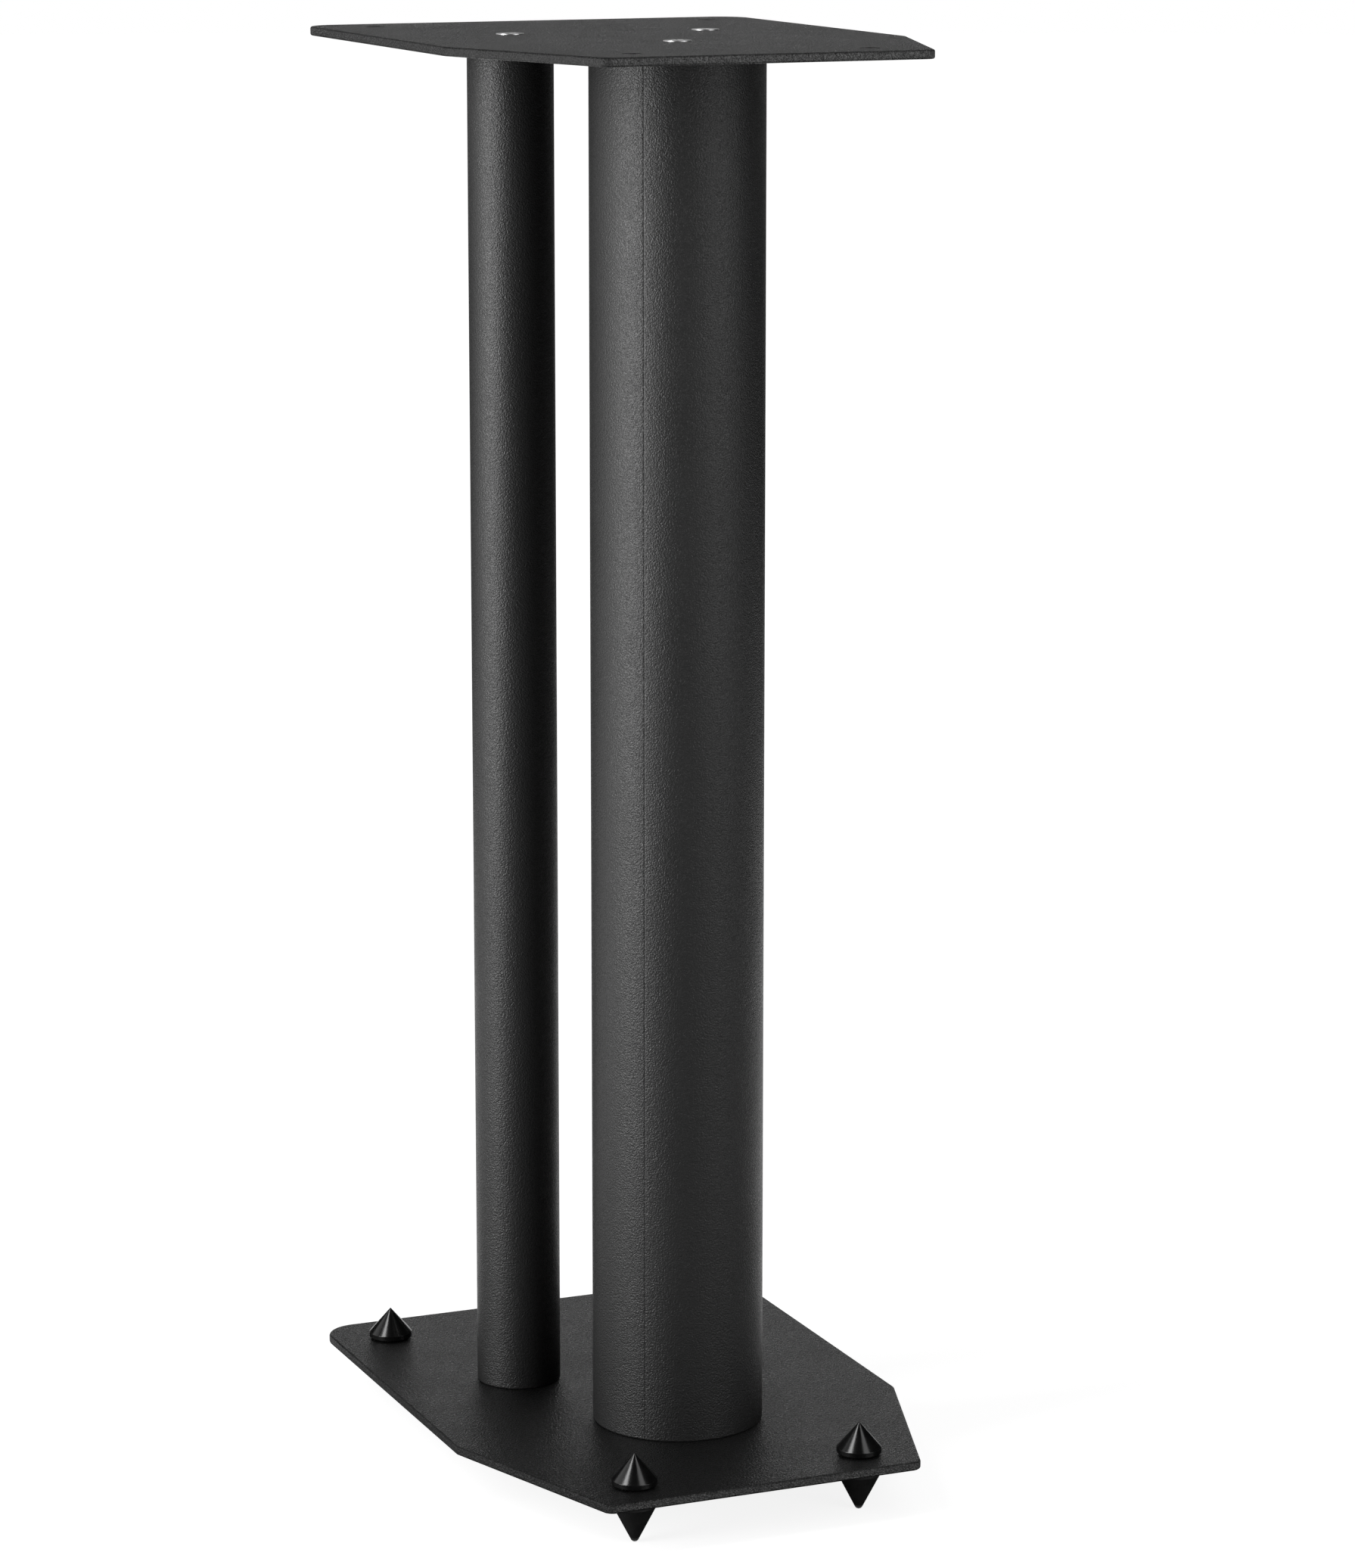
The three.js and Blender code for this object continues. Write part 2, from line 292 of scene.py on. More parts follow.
def card(name, material, width, length, moves):
    """A rectangle that is mirrored and otherwise unseen. It is made lying flat and then moved."""
    bm = bmesh.new()
    bmesh.ops.create_grid(bm, x_segments=1, y_segments=1, size=0.5)
    bmesh.ops.scale(bm, verts=bm.verts, vec=(width, length, 1))
    bmesh.ops.transform(bm, verts=bm.verts, matrix=moves)
    data = bpy.data.meshes.new(name)
    bm.to_mesh(data)
    bm.free()
    data.materials.append(material)
    placed = bpy.data.objects.new(name, data)
    placed.visible_camera = False
    placed.visible_shadow = False
    placed.visible_diffuse = False
    bpy.context.scene.collection.objects.link(placed)
    print(name, "placed")


# %% [markdown]
# Two cards lie on the floor: a grey one in front, at the right, and a black one under the
# base plate, which is painted shade: it stands for the floor's deep shade there in what the
# spikes and the plate mirror. A lying card is lifted to its height, and the one in front is
# also moved away from the stand and turned towards the camera.

# %% Cards on the floor
black_card = card_material("black_card", level=0.01)
floor_card = card_material("floor_card", level=0.28)


def lifted_to(height):
    """How a lying card is moved straight up from the middle of the stand."""
    return Matrix.Translation((0, 0, height))


def laid_out(turn, distance, height):
    """How a lying card is moved away from the thick tube and turned to the camera."""
    place = around(CAMERA_TURN + math.radians(turn), distance, height)
    return Matrix.Translation(place) @ Matrix.Rotation(CAMERA_TURN, 4, "Z")


card("floor_card", floor_card, width=3.4, length=2.4,
     moves=laid_out(turn=50, distance=1.57, height=0.001))
# The black card under the base plate is painted shade, seen only in reflections.
card("painted_shade_patch", black_card, width=0.26, length=0.33, moves=lifted_to(0.002))

# %% [markdown]
# The others stand: black ones in front and at the right, which give the dark bands of
# the tubes, and a wall of them behind, which the plates mirror. The wall leaves a gap of
# white between its low and its high cards, and this gap is what the screw heads catch.
# Last comes a black ceiling, which lies again.

# %% Cards that stand
dark_card = card_material("dark_card", level=0.14)
grey_card = card_material("grey_card", level=0.25)


def upright(turn, distance, height):
    """How a card is stood up, turned to face the stand and put in its place."""
    turned_by = CAMERA_TURN + math.radians(turn)
    place = Matrix.Translation(around(turned_by, distance, height))
    return place @ Matrix.Rotation(turned_by, 4, "Z") @ Matrix.Rotation(math.pi / 2, 4, "X")


card("front_card", black_card, width=1.6, length=2.2,
     moves=upright(turn=-8, distance=1.7, height=1.1))
card("right_front_card", black_card, width=1.6, length=2.2,
     moves=upright(turn=38, distance=1.5, height=1.1))
card("right_card", black_card, width=1.6, length=2.2,
     moves=upright(turn=105, distance=1.4, height=1.1))
card("back_low_card", grey_card, width=1.1, length=0.48,
     moves=upright(turn=180, distance=1.3, height=0.44))
card("back_low_left_card", black_card, width=1.2, length=0.62,
     moves=upright(turn=222, distance=1.3, height=0.31))
card("back_low_right_card", black_card, width=1.2, length=0.62,
     moves=upright(turn=138, distance=1.3, height=0.31))
card("back_high_card", dark_card, width=3.2, length=1.5,
     moves=upright(turn=180, distance=1.3, height=1.51))
card("ceiling_card", black_card, width=5.0, length=5.0, moves=lifted_to(2.6))

# %% [markdown]
# ## The textured powder coat
#
# Powder coat of this kind dries into a fine leathery skin with grains a little smaller
# than a millimetre. It could be displaced, but the grains are far too small for geometry
# on tubes this long, so a bump is right. The grain is a node group, because plates and
# tubes share it with other strengths. Rounded cells and a noise give a height, a finer
# noise gives flecks, and a slow noise gives patches that catch the light more or less.

# %% Node group: sockets and textures of the grain
TYPICAL_GRAINS_PER_METRE = 1200
RIPPLE_DETAIL = 3
FLECKS_PER_GRAIN = 1.5
FLECK_DETAIL = 1
PATCHES_PER_METRE = 35
PATCH_DETAIL = 4


def group_socket(group, name, way, value=0.0):
    """A named input or output of a node group, for a number."""
    socket = group.interface.new_socket(name=name, in_out=way, socket_type="NodeSocketFloat")
    if way == "INPUT":
        socket.default_value = value


coat_grain = bpy.data.node_groups.new("coat_grain", "ShaderNodeTree")
group_socket(coat_grain, "Grains per metre", "INPUT", TYPICAL_GRAINS_PER_METRE)
group_socket(coat_grain, "Height", "OUTPUT")
group_socket(coat_grain, "Speckle", "OUTPUT")
group_socket(coat_grain, "Patches", "OUTPUT")
given = add_node(coat_grain, "NodeGroupInput")
made = add_node(coat_grain, "NodeGroupOutput")
place = add_node(coat_grain, "ShaderNodeTexCoord")
cells = add_node(coat_grain, "ShaderNodeTexVoronoi", feature="SMOOTH_F1")
ripples = add_node(coat_grain, "ShaderNodeTexNoise")
ripples.inputs["Detail"].default_value = RIPPLE_DETAIL
flecks = add_node(coat_grain, "ShaderNodeTexNoise")
flecks.inputs["Detail"].default_value = FLECK_DETAIL
slow = add_node(coat_grain, "ShaderNodeTexNoise")
slow.inputs["Scale"].default_value = PATCHES_PER_METRE
slow.inputs["Detail"].default_value = PATCH_DETAIL
for texture in (cells, ripples, flecks, slow):
    join(coat_grain, place.outputs["Object"], texture.inputs["Vector"])
print("group", coat_grain.name, "has", len(coat_grain.nodes), "nodes so far")

# %% [markdown]
# The distance to the middle of a cell is turned upside down, so that each cell becomes a
# pebble, and the ripples are added to it. The flecks are finer than the grains.

# %% Node group: how the grain is put together
pebbles = add_node(coat_grain, "ShaderNodeMath", operation="SUBTRACT")
pebbles.inputs[0].default_value = 1.0
heights = add_node(coat_grain, "ShaderNodeMath", operation="ADD")
finer = add_node(coat_grain, "ShaderNodeMath", operation="MULTIPLY")
finer.inputs[1].default_value = FLECKS_PER_GRAIN
join(coat_grain, given.outputs["Grains per metre"], cells.inputs["Scale"])
join(coat_grain, given.outputs["Grains per metre"], ripples.inputs["Scale"])
join(coat_grain, given.outputs["Grains per metre"], finer.inputs[0])
join(coat_grain, finer.outputs[0], flecks.inputs["Scale"])
join(coat_grain, cells.outputs["Distance"], pebbles.inputs[1])
join(coat_grain, pebbles.outputs[0], heights.inputs[0])
join(coat_grain, ripples.outputs["Fac"], heights.inputs[1])
join(coat_grain, heights.outputs[0], made.inputs["Height"])
join(coat_grain, flecks.outputs["Fac"], made.inputs["Speckle"])
join(coat_grain, slow.outputs["Fac"], made.inputs["Patches"])
print("group", coat_grain.name, "has", len(coat_grain.nodes), "nodes")

# %% [markdown]
# Each material starts with an empty shader, and most of its values swing between two
# ends with a texture. A noise seldom leaves the middle of its range, so the swing uses a
# narrow span on each side of a half. The bump is made the same way for every finish.

# %% Helpers for materials
PATCH_SPREAD = 0.25
SPECKLE_SPREAD = 0.16


def new_material(name):
    """A material with an empty Principled shader, its tree and the shader."""
    material = bpy.data.materials.new(name)
    material.use_nodes = True
    return material, material.node_tree, material.node_tree.nodes["Principled BSDF"]


def between(tree, factor, low, high, spread=PATCH_SPREAD):
    """A socket from low to high, while the factor runs over this spread each side of a half."""
    span = add_node(tree, "ShaderNodeMapRange")
    span.inputs["From Min"].default_value = 0.5 - spread
    span.inputs["From Max"].default_value = 0.5 + spread
    span.inputs["To Min"].default_value = low
    span.inputs["To Max"].default_value = high
    join(tree, factor, span.inputs["Value"])
    return span.outputs[0]


def add_bump(tree, shader, height, depth):
    """Bumps the shader's surface by this height, which is worth this many metres."""
    bump = add_node(tree, "ShaderNodeBump")
    bump.inputs["Strength"].default_value = 1.0
    bump.inputs["Distance"].default_value = depth
    join(tree, height, bump.inputs["Height"])
    join(tree, bump.outputs[0], shader.inputs["Normal"])


# %% [markdown]
# The paint itself is a very dark grey. Speckle lightens and darkens its tone and makes
# the grains duller or glossier, the patches change the gloss over a few centimetres, and
# the bump breaks up the streaks. Plates and tubes differ a little: the plates are
# glossier, with a coarser and deeper grain, and their cut edges get a lighter grey, which
# is a painted highlight for the light that the edges catch. These edges are marked on the mesh.

# %% The coat on tubes and plates
PAINT_IOR = 1.5


def coat_tone(tree, shader, speckle, tones, painted_highlight_on_cut_edges):
    """Grey that follows the speckle, lifted this many times over on cut edges as a painted
    highlight.
    """
    edge = add_node(tree, "ShaderNodeAttribute", attribute_name="highlit_cut_edge")
    lifted = add_node(tree, "ShaderNodeMath", operation="MULTIPLY_ADD")
    lifted.inputs[1].default_value = painted_highlight_on_cut_edges
    lifted.inputs[2].default_value = 1
    tone = add_node(tree, "ShaderNodeMath", operation="MULTIPLY")
    grey = add_node(tree, "ShaderNodeCombineColor", mode="HSV")
    join(tree, edge.outputs["Fac"], lifted.inputs[0])
    join(tree, between(tree, speckle, *tones, SPECKLE_SPREAD), tone.inputs[0])
    join(tree, lifted.outputs[0], tone.inputs[1])
    join(tree, tone.outputs[0], grey.inputs["Blue"])  # the value, in HSV mode
    join(tree, grey.outputs[0], shader.inputs["Base Color"])


def powder_coat(name, grains, bump_depth, tones, patchy, grainy, painted_highlight_on_cut_edges):
    """Black textured paint, from its grains per metre and the ends of its tone and roughness."""
    material, tree, shader = new_material(name)
    grain = add_node(tree, "ShaderNodeGroup", node_tree=coat_grain)
    grain.inputs["Grains per metre"].default_value = grains
    speckle = grain.outputs["Speckle"]
    coat_tone(tree, shader, speckle, tones, painted_highlight_on_cut_edges)
    roughness = add_node(tree, "ShaderNodeMath", operation="ADD")
    join(tree, between(tree, grain.outputs["Patches"], *patchy), roughness.inputs[0])
    join(tree, between(tree, speckle, *grainy, SPECKLE_SPREAD), roughness.inputs[1])
    join(tree, roughness.outputs[0], shader.inputs["Roughness"])
    add_bump(tree, shader, grain.outputs["Height"], bump_depth)
    shader.inputs["IOR"].default_value = PAINT_IOR
    print(name, "with", grains, "grains per metre")
    return material


tube_coat = powder_coat("textured_black_on_tubes", grains=1600, bump_depth=0.0002,
                        tones=(0.002, 0.014), patchy=(0.43, 0.49), grainy=(0.16, -0.16),
                        painted_highlight_on_cut_edges=0)
# On the plates the cut edges get a painted highlight, six times their grey.
plate_coat = powder_coat("textured_black_on_plates", grains=1250, bump_depth=0.0004,
                         tones=(0.002, 0.014), patchy=(0.36, 0.42), grainy=(0.16, -0.16),
                         painted_highlight_on_cut_edges=5)

# %% [markdown]
# ## Turned and plated metal
#
# The cones, spikes, studs and screws were turned, and a lathe leaves fine rings round the
# axis. The rings can't come from one centre for all the pieces, so each turned mesh
# carries an attribute called ring, which grows along its profile, and a group turns that
# into grooves.

# %% Node group: lathe rings
RINGS_PER_METRE = 6000
GROOVE_DETAIL = 2
SMUDGES_PER_METRE = 220
SMUDGE_DETAIL = 3

lathe_rings = bpy.data.node_groups.new("lathe_rings", "ShaderNodeTree")
group_socket(lathe_rings, "Rings per metre", "INPUT", RINGS_PER_METRE)
group_socket(lathe_rings, "Height", "OUTPUT")
group_socket(lathe_rings, "Smudges", "OUTPUT")
given = add_node(lathe_rings, "NodeGroupInput")
made = add_node(lathe_rings, "NodeGroupOutput")
ring = add_node(lathe_rings, "ShaderNodeAttribute", attribute_name="ring")
grooves = add_node(lathe_rings, "ShaderNodeTexNoise", noise_dimensions="1D")
grooves.inputs["Detail"].default_value = GROOVE_DETAIL
place = add_node(lathe_rings, "ShaderNodeTexCoord")
smudges = add_node(lathe_rings, "ShaderNodeTexNoise")
smudges.inputs["Scale"].default_value = SMUDGES_PER_METRE
smudges.inputs["Detail"].default_value = SMUDGE_DETAIL
join(lathe_rings, ring.outputs["Fac"], grooves.inputs["W"])
join(lathe_rings, given.outputs["Rings per metre"], grooves.inputs["Scale"])
join(lathe_rings, grooves.outputs["Fac"], made.inputs["Height"])
join(lathe_rings, place.outputs["Object"], smudges.inputs["Vector"])
join(lathe_rings, smudges.outputs["Fac"], made.inputs["Smudges"])
print("group", lathe_rings.name, "has", len(lathe_rings.nodes), "nodes")

# %% [markdown]
# Smooth black, zinc and plain steel then differ in colour, in roughness and in how deep
# the rings are. The black ones are paint over steel, so they aren't metallic.

# %% Smooth black, zinc and steel


def turned_metal(name, tones, roughnesses, ring_depth, metallic):
    """A turned finish, from the two ends of its tone and roughness and the depth of its rings."""
    material, tree, shader = new_material(name)
    rings = add_node(tree, "ShaderNodeGroup", node_tree=lathe_rings)
    rings.inputs["Rings per metre"].default_value = RINGS_PER_METRE
    smudges = rings.outputs["Smudges"]
    tone = add_node(tree, "ShaderNodeCombineColor", mode="HSV")
    join(tree, between(tree, smudges, *tones), tone.inputs["Blue"])
    join(tree, tone.outputs[0], shader.inputs["Base Color"])
    join(tree, between(tree, smudges, *roughnesses), shader.inputs["Roughness"])
    add_bump(tree, shader, rings.outputs["Height"], ring_depth)
    shader.inputs["Metallic"].default_value = metallic
    print(name, "made")
    return material


gloss_black = turned_metal("gloss_black_turned", tones=(0.002, 0.004),
                           roughnesses=(0.18, 0.22), ring_depth=0.000004, metallic=0.0)
satin_black = turned_metal("satin_black_turned", tones=(0.012, 0.02),
                           roughnesses=(0.36, 0.44), ring_depth=0.000006, metallic=0.0)
bright_zinc = turned_metal("bright_zinc_plate", tones=(0.5, 0.62),
                           roughnesses=(0.3, 0.42), ring_depth=0.000003, metallic=1.0)
plain_steel = turned_metal("plain_turned_steel", tones=(0.3, 0.38),
                           roughnesses=(0.32, 0.42), ring_depth=0.000006, metallic=1.0)

# %% [markdown]
# ## From a profile to a turned piece
#
# Almost every piece here is round, and the shortest way to a round piece is to draw half
# of its section as a line of points and spin it about its axis. Sharp corners never look
# real, so chosen corners of the section are rounded first, with a vertex bevel on the
# bare line. Points on the axis meet in a pole, which is closed by merging them.

# %% Spinning a profile
MERGE_DISTANCE = 1e-7
ROUNDING_STEPS = 3
TUBE_ROUNDING_STEPS = 4


def round_corner(bm, corner, radius, segments):
    """Rounds one corner of a line of edges with an arc of this radius."""
    ways = [(edge.other_vert(corner).co - corner.co).normalized() for edge in corner.link_edges]
    half_angle = ways[0].angle(ways[1]) / 2
    bmesh.ops.bevel(bm, geom=[corner], offset=radius / math.tan(half_angle), offset_type="OFFSET",
                    segments=segments, profile=0.5, affect="VERTICES", material=-1)


def draw_profile(bm, profile, segments=ROUNDING_STEPS):
    """Draws a section of (radius, height) or (radius, height, rounding) points in the XZ plane."""
    corners = [bm.verts.new((point[0], 0, point[1])) for point in profile]
    for pair in zip(corners, corners[1:]):
        bm.edges.new(pair)
    for corner, point in zip(corners, profile):
        if len(point) == 3:
            round_corner(bm, corner, point[2], segments)


def spin_about_axis(bm, steps):
    """Spins what is drawn a full turn about Z and closes the poles."""
    bmesh.ops.spin(bm, geom=bm.verts[:] + bm.edges[:], cent=(0, 0, 0), axis=(0, 0, 1),
                   dvec=(0, 0, 0), angle=2 * math.pi, steps=steps, use_merge=True,
                   use_duplicate=False)
    bmesh.ops.remove_doubles(bm, verts=bm.verts, dist=MERGE_DISTANCE)


# %% [markdown]
# The lathe rings need to know how far along the section a point lies. Height alone would
# leave a flat face without rings and radius alone a straight shank, so the two are mixed.

# %% Marking rings and making a turned body
RING_SLANT = 1.7


def mark_rings(bm):
    """Stores how far along its section each point lies, for the lathe rings."""
    ring = bm.verts.layers.float.new("ring")
    for vert in bm.verts:
        vert[ring] = vert.co.z + RING_SLANT * vert.co.xy.length


def turned(profile, steps, place, segments=ROUNDING_STEPS):
    """A closed turned body, standing at this place."""
    bm = bmesh.new()
    draw_profile(bm, profile, segments)
    spin_about_axis(bm, steps)
    mark_rings(bm)
    bmesh.ops.recalc_face_normals(bm, faces=bm.faces)
    bmesh.ops.translate(bm, verts=bm.verts, vec=place)
    return bm


# %% [markdown]
# Each piece ends the same way: its mesh is shaded smooth with sharp edges kept, it rides
# the moving body that it belongs to, and it stands in for its node of the construction
# model. Weighted normals keep the flat faces flat beside their roundings.

# %% Finishing a piece
SHARP_FROM = math.radians(35)
pieces_made = []


def finished(bm, name, material, body, node):
    """Turns the bmesh into a smooth-shaded piece that stands for this construction node."""
    mesh = bpy.data.meshes.new(name)
    bm.to_mesh(mesh)
    bm.free()
    mesh.shade_smooth()
    mesh.set_sharp_from_angle(angle=SHARP_FROM)
    mesh.materials.append(material)
    piece = bpy.data.objects.new(name, mesh)
    bpy.context.scene.collection.objects.link(piece)
    even = piece.modifiers.new("even_shading", "WEIGHTED_NORMAL")
    even.keep_sharp = True
    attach(piece, body)
    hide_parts(node)
    pieces_made.append(piece)
    print(name, len(mesh.polygons), "faces")
    return piece


def centre_and_radius(node):
    """The foot of a round node's axis and its radius."""
    low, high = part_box(node)
    return Vector(((low.x + high.x) / 2, (low.y + high.y) / 2, low.z)), (high.x - low.x) / 2


def height_of(node):
    """How tall a node is."""
    low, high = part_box(node)
    return high.z - low.z


def open_edges(bm):
    """How many edges don't lie between exactly two faces. A closed body has none."""
    return sum(1 for edge in bm.edges if not edge.is_manifold)


# %% [markdown]
# ## The tubes
#
# Each column is a steel tube with a wall of about 2 mm, cut square and slightly rounded at
# its ends, where the light catches a fine rim. The section is drawn all round, inside and
# out, so that the tube is a real closed tube.

# %% A tube
TUBE_END_ROUNDING = 0.0007


def tube(node, wall, steps):
    """A hollow tube in the place of a column node, drawn up outside and down inside."""
    foot, radius = centre_and_radius(node)
    length = height_of(node)
    section = [
        (radius - wall, 0),
        (radius, 0, TUBE_END_ROUNDING),
        (radius, length, TUBE_END_ROUNDING),
        (radius - wall, length),
        (radius - wall, 0),
    ]
    return turned(section, steps, foot, TUBE_ROUNDING_STEPS)


# %% [markdown]
# The thick tube is rolled from strip and welded, and the ground weld still shows as a
# hairline groove down its front left side. One upright edge of the spun tube is turned to
# that direction, split into a narrow band, and the middle of the band is pushed in.

# %% The thick tube and its seam
FRONT_WALL = 0.002
FRONT_TUBE_STEPS = 256
SEAM_TURN = math.radians(225)
SEAM_HALF_WIDTH = 0.00035
SEAM_DEPTH = 0.00015


def level_distance(vert, line):
    """How far a point lies from an upright line, seen from above."""
    return (Vector((vert.co.x, vert.co.y, 0)) - line).length


def cut_seam(bm, axis, radius):
    """Splits the upright edge in the seam's direction and sinks the line between."""
    bmesh.ops.rotate(bm, verts=bm.verts, cent=axis, matrix=Matrix.Rotation(SEAM_TURN, 3, "Z"))
    towards = Vector((math.cos(SEAM_TURN), math.sin(SEAM_TURN), 0))
    line = Vector((axis.x, axis.y, 0)) + towards * radius
    weld = [edge for edge in bm.edges
            if all(level_distance(vert, line) < SEAM_DEPTH for vert in edge.verts)
            and abs(edge.verts[0].co.z - edge.verts[1].co.z) > radius]
    bmesh.ops.bevel(bm, geom=weld, offset=SEAM_HALF_WIDTH, offset_type="OFFSET", segments=2,
                    profile=0.5, affect="EDGES", material=-1)
    sunk = [vert for vert in bm.verts if level_distance(vert, line) < SEAM_DEPTH]
    bmesh.ops.translate(bm, verts=sunk, vec=-towards * SEAM_DEPTH)
    print("seam of", len(weld), "edge, sunk points", len(sunk))


front_tube = tube("front_column", FRONT_WALL, FRONT_TUBE_STEPS)
front_foot, front_radius = centre_and_radius("front_column")
cut_seam(front_tube, front_foot, front_radius)
finished(front_tube, "front_column_coated", tube_coat, "stand", "front_column")

# %% [markdown]
# The two thin tubes are half as wide, with a thinner wall and no seam that can be seen, so
# they are only spun. Being thin, they stay round with fewer steps.

# %% The two thin tubes
REAR_WALL = 0.0016
REAR_TUBE_STEPS = 160

for side in ("left", "right"):
    node = f"rear_column_{side}"
    rear_tube = tube(node, REAR_WALL, REAR_TUBE_STEPS)
    finished(rear_tube, f"{node}_coated", tube_coat, "stand", node)

# %% [markdown]
# ## The plates
#
# Both plates are one shape, cut from 4 mm sheet: a rectangle with its front corners cut
# off by long slanting edges. The slab is made first as a plain face with rounded corners,
# pulled up to its thickness, and its rim is bevelled while the faces are still simple.

# %% Slab with rounded corners
FRONT_EDGE_WIDTH = 0.148
SLANT_LENGTH = 0.098
REAR_CORNER_RADIUS = 0.015
FRONT_CORNER_RADIUS = 0.005
BEND_RADIUS = 0.006
CORNER_STEPS = 14
RIM_ROUNDING = 0.0009
RIM_SEGMENTS = 5


def plate_outline(low, high):
    """The corners of a plate, each with its radius, from the front left one round."""
    bend_y = low.y + SLANT_LENGTH
    half_front = FRONT_EDGE_WIDTH / 2
    return [
        (-half_front, low.y, FRONT_CORNER_RADIUS),
        (half_front, low.y, FRONT_CORNER_RADIUS),
        (high.x, bend_y, BEND_RADIUS),
        (high.x, high.y, REAR_CORNER_RADIUS),
        (low.x, high.y, REAR_CORNER_RADIUS),
        (low.x, bend_y, BEND_RADIUS),
    ]


def plate_slab(low, high):
    """The solid blank of a plate, with rounded corners and rim."""
    outline = plate_outline(low, high)
    bm = bmesh.new()
    corners = [bm.verts.new((point[0], point[1], low.z)) for point in outline]
    for pair in zip(corners, corners[1:] + corners[:1]):
        bm.edges.new(pair)
    for corner, point in zip(corners, outline):
        round_corner(bm, corner, point[2], CORNER_STEPS)
    bmesh.ops.contextual_create(bm, geom=bm.edges[:])
    grown = bmesh.ops.extrude_face_region(bm, geom=bm.faces[:])
    lifted = [part for part in grown["geom"] if isinstance(part, bmesh.types.BMVert)]
    bmesh.ops.translate(bm, verts=lifted, vec=(0, 0, high.z - low.z))
    bmesh.ops.recalc_face_normals(bm, faces=bm.faces)
    rim = [edge for edge in bm.edges if edge.verts[0].co.z == edge.verts[1].co.z]
    bmesh.ops.bevel(bm, geom=rim, offset=RIM_ROUNDING, offset_type="OFFSET",
                    segments=RIM_SEGMENTS, profile=0.5, affect="EDGES", material=-1)
    return bm


# %% [markdown]
# A plate has three countersunk holes at the tubes and four tapped ones at its corners.
# Their walls are drawn as sections too, from the upper face down. The turns of the
# tapped holes are plain grooves without a rise, which can't be told from a thread here.

# %% Sections of the holes
SCREW_HOLE_RADIUS = 0.0033
SCREW_SEAT_RADIUS = 0.00645
SCREW_SEAT_EDGE = 0.0004
HOLE_EDGE_ROUNDING = 0.00015
THREAD_PITCH = 0.00125
THREAD_FLANK = 0.42 * THREAD_PITCH
THREAD_CREST = 0.00415
THREAD_ROOT = 0.0047
THREAD_MOUTH = 0.0044


def screw_seat(thickness):
    """The wall of a countersunk hole, from the upper face of a plate down to the lower one."""
    sink = SCREW_SEAT_EDGE + SCREW_SEAT_RADIUS - SCREW_HOLE_RADIUS
    return [
        (SCREW_SEAT_RADIUS + HOLE_EDGE_ROUNDING, thickness),
        (SCREW_SEAT_RADIUS, thickness - HOLE_EDGE_ROUNDING),
        (SCREW_SEAT_RADIUS, thickness - SCREW_SEAT_EDGE),
        (SCREW_HOLE_RADIUS, thickness - sink, HOLE_EDGE_ROUNDING),
        (SCREW_HOLE_RADIUS, HOLE_EDGE_ROUNDING),
        (SCREW_HOLE_RADIUS + HOLE_EDGE_ROUNDING, 0),
    ]


def tapped_wall(thickness):
    """The wall of a threaded hole: a broken edge at both faces and grooves between them."""
    mouth_depth = THREAD_MOUTH - THREAD_CREST
    wall = [(THREAD_MOUTH, thickness)]
    groove = thickness - mouth_depth
    while groove > mouth_depth + THREAD_PITCH / 2:
        wall.append((THREAD_CREST, groove))
        wall.append((THREAD_ROOT, groove - THREAD_FLANK))
        groove -= 2 * THREAD_FLANK
    wall.append((THREAD_CREST, mouth_depth))
    wall.append((THREAD_MOUTH, 0))
    return wall


# %% [markdown]
# The two large faces are taken off the slab, the spun walls of the holes are put in, and
# a fill closes the faces round them. That keeps every hole exactly round, which a boolean
# cut wouldn't. The coat reaches into a tapped hole as far as its broken edge, and the
# thread below is bare steel, the plate's second material.

# %% Putting a hole into a plate
HOLE_STEPS = 64
COATED = 0
BARE = 1


def hole_in(bm, place, wall, finish):
    """Adds the wall of a hole to the plate, standing on the plate's lower face."""
    hole = bmesh.new()
    draw_profile(hole, wall)
    spin_about_axis(hole, HOLE_STEPS)
    top = wall[0][1]
    for face in hole.faces:
        heights = [vert.co.z for vert in face.verts]
        at_the_mouth = min(heights) < MERGE_DISTANCE or max(heights) > top - MERGE_DISTANCE
        face.material_index = COATED if at_the_mouth else finish
    bmesh.ops.translate(hole, verts=hole.verts, vec=place)
    spare = bpy.data.meshes.new("hole")
    hole.to_mesh(spare)
    hole.free()
    bm.from_mesh(spare)
    bpy.data.meshes.remove(spare)


def close_face(bm, level):
    """Fills the flat face at this height between the plate's rim and the rims of its holes."""
    rims = [edge for edge in bm.edges if edge.is_boundary
            and all(abs(vert.co.z - level) < MERGE_DISTANCE for vert in edge.verts)]
    bmesh.ops.triangle_fill(bm, use_beauty=True, use_dissolve=False, edges=rims)


# %% [markdown]
# The base plate is the top plate turned over, so its countersinks open downwards. The
# cut edge, which is the band of the rim between its two roundings, is marked for the coat's
# painted highlight.

# %% Both plates
column_nodes = ("front_column", "rear_column_left", "rear_column_right")
corner_names = ("front_left", "front_right", "rear_left", "rear_right")


def mark_highlit_cut_edge(bm, low, high):
    """Stores 1 on the points of the rim between its roundings, where the highlight is painted, and
    0 on all others.
    """
    highlit_cut_edge = bm.verts.layers.float.new("highlit_cut_edge")
    for vert in bm.verts:
        depth = min(vert.co.z - low.z, high.z - vert.co.z)
        vert[highlit_cut_edge] = float(depth > RIM_ROUNDING - MERGE_DISTANCE)


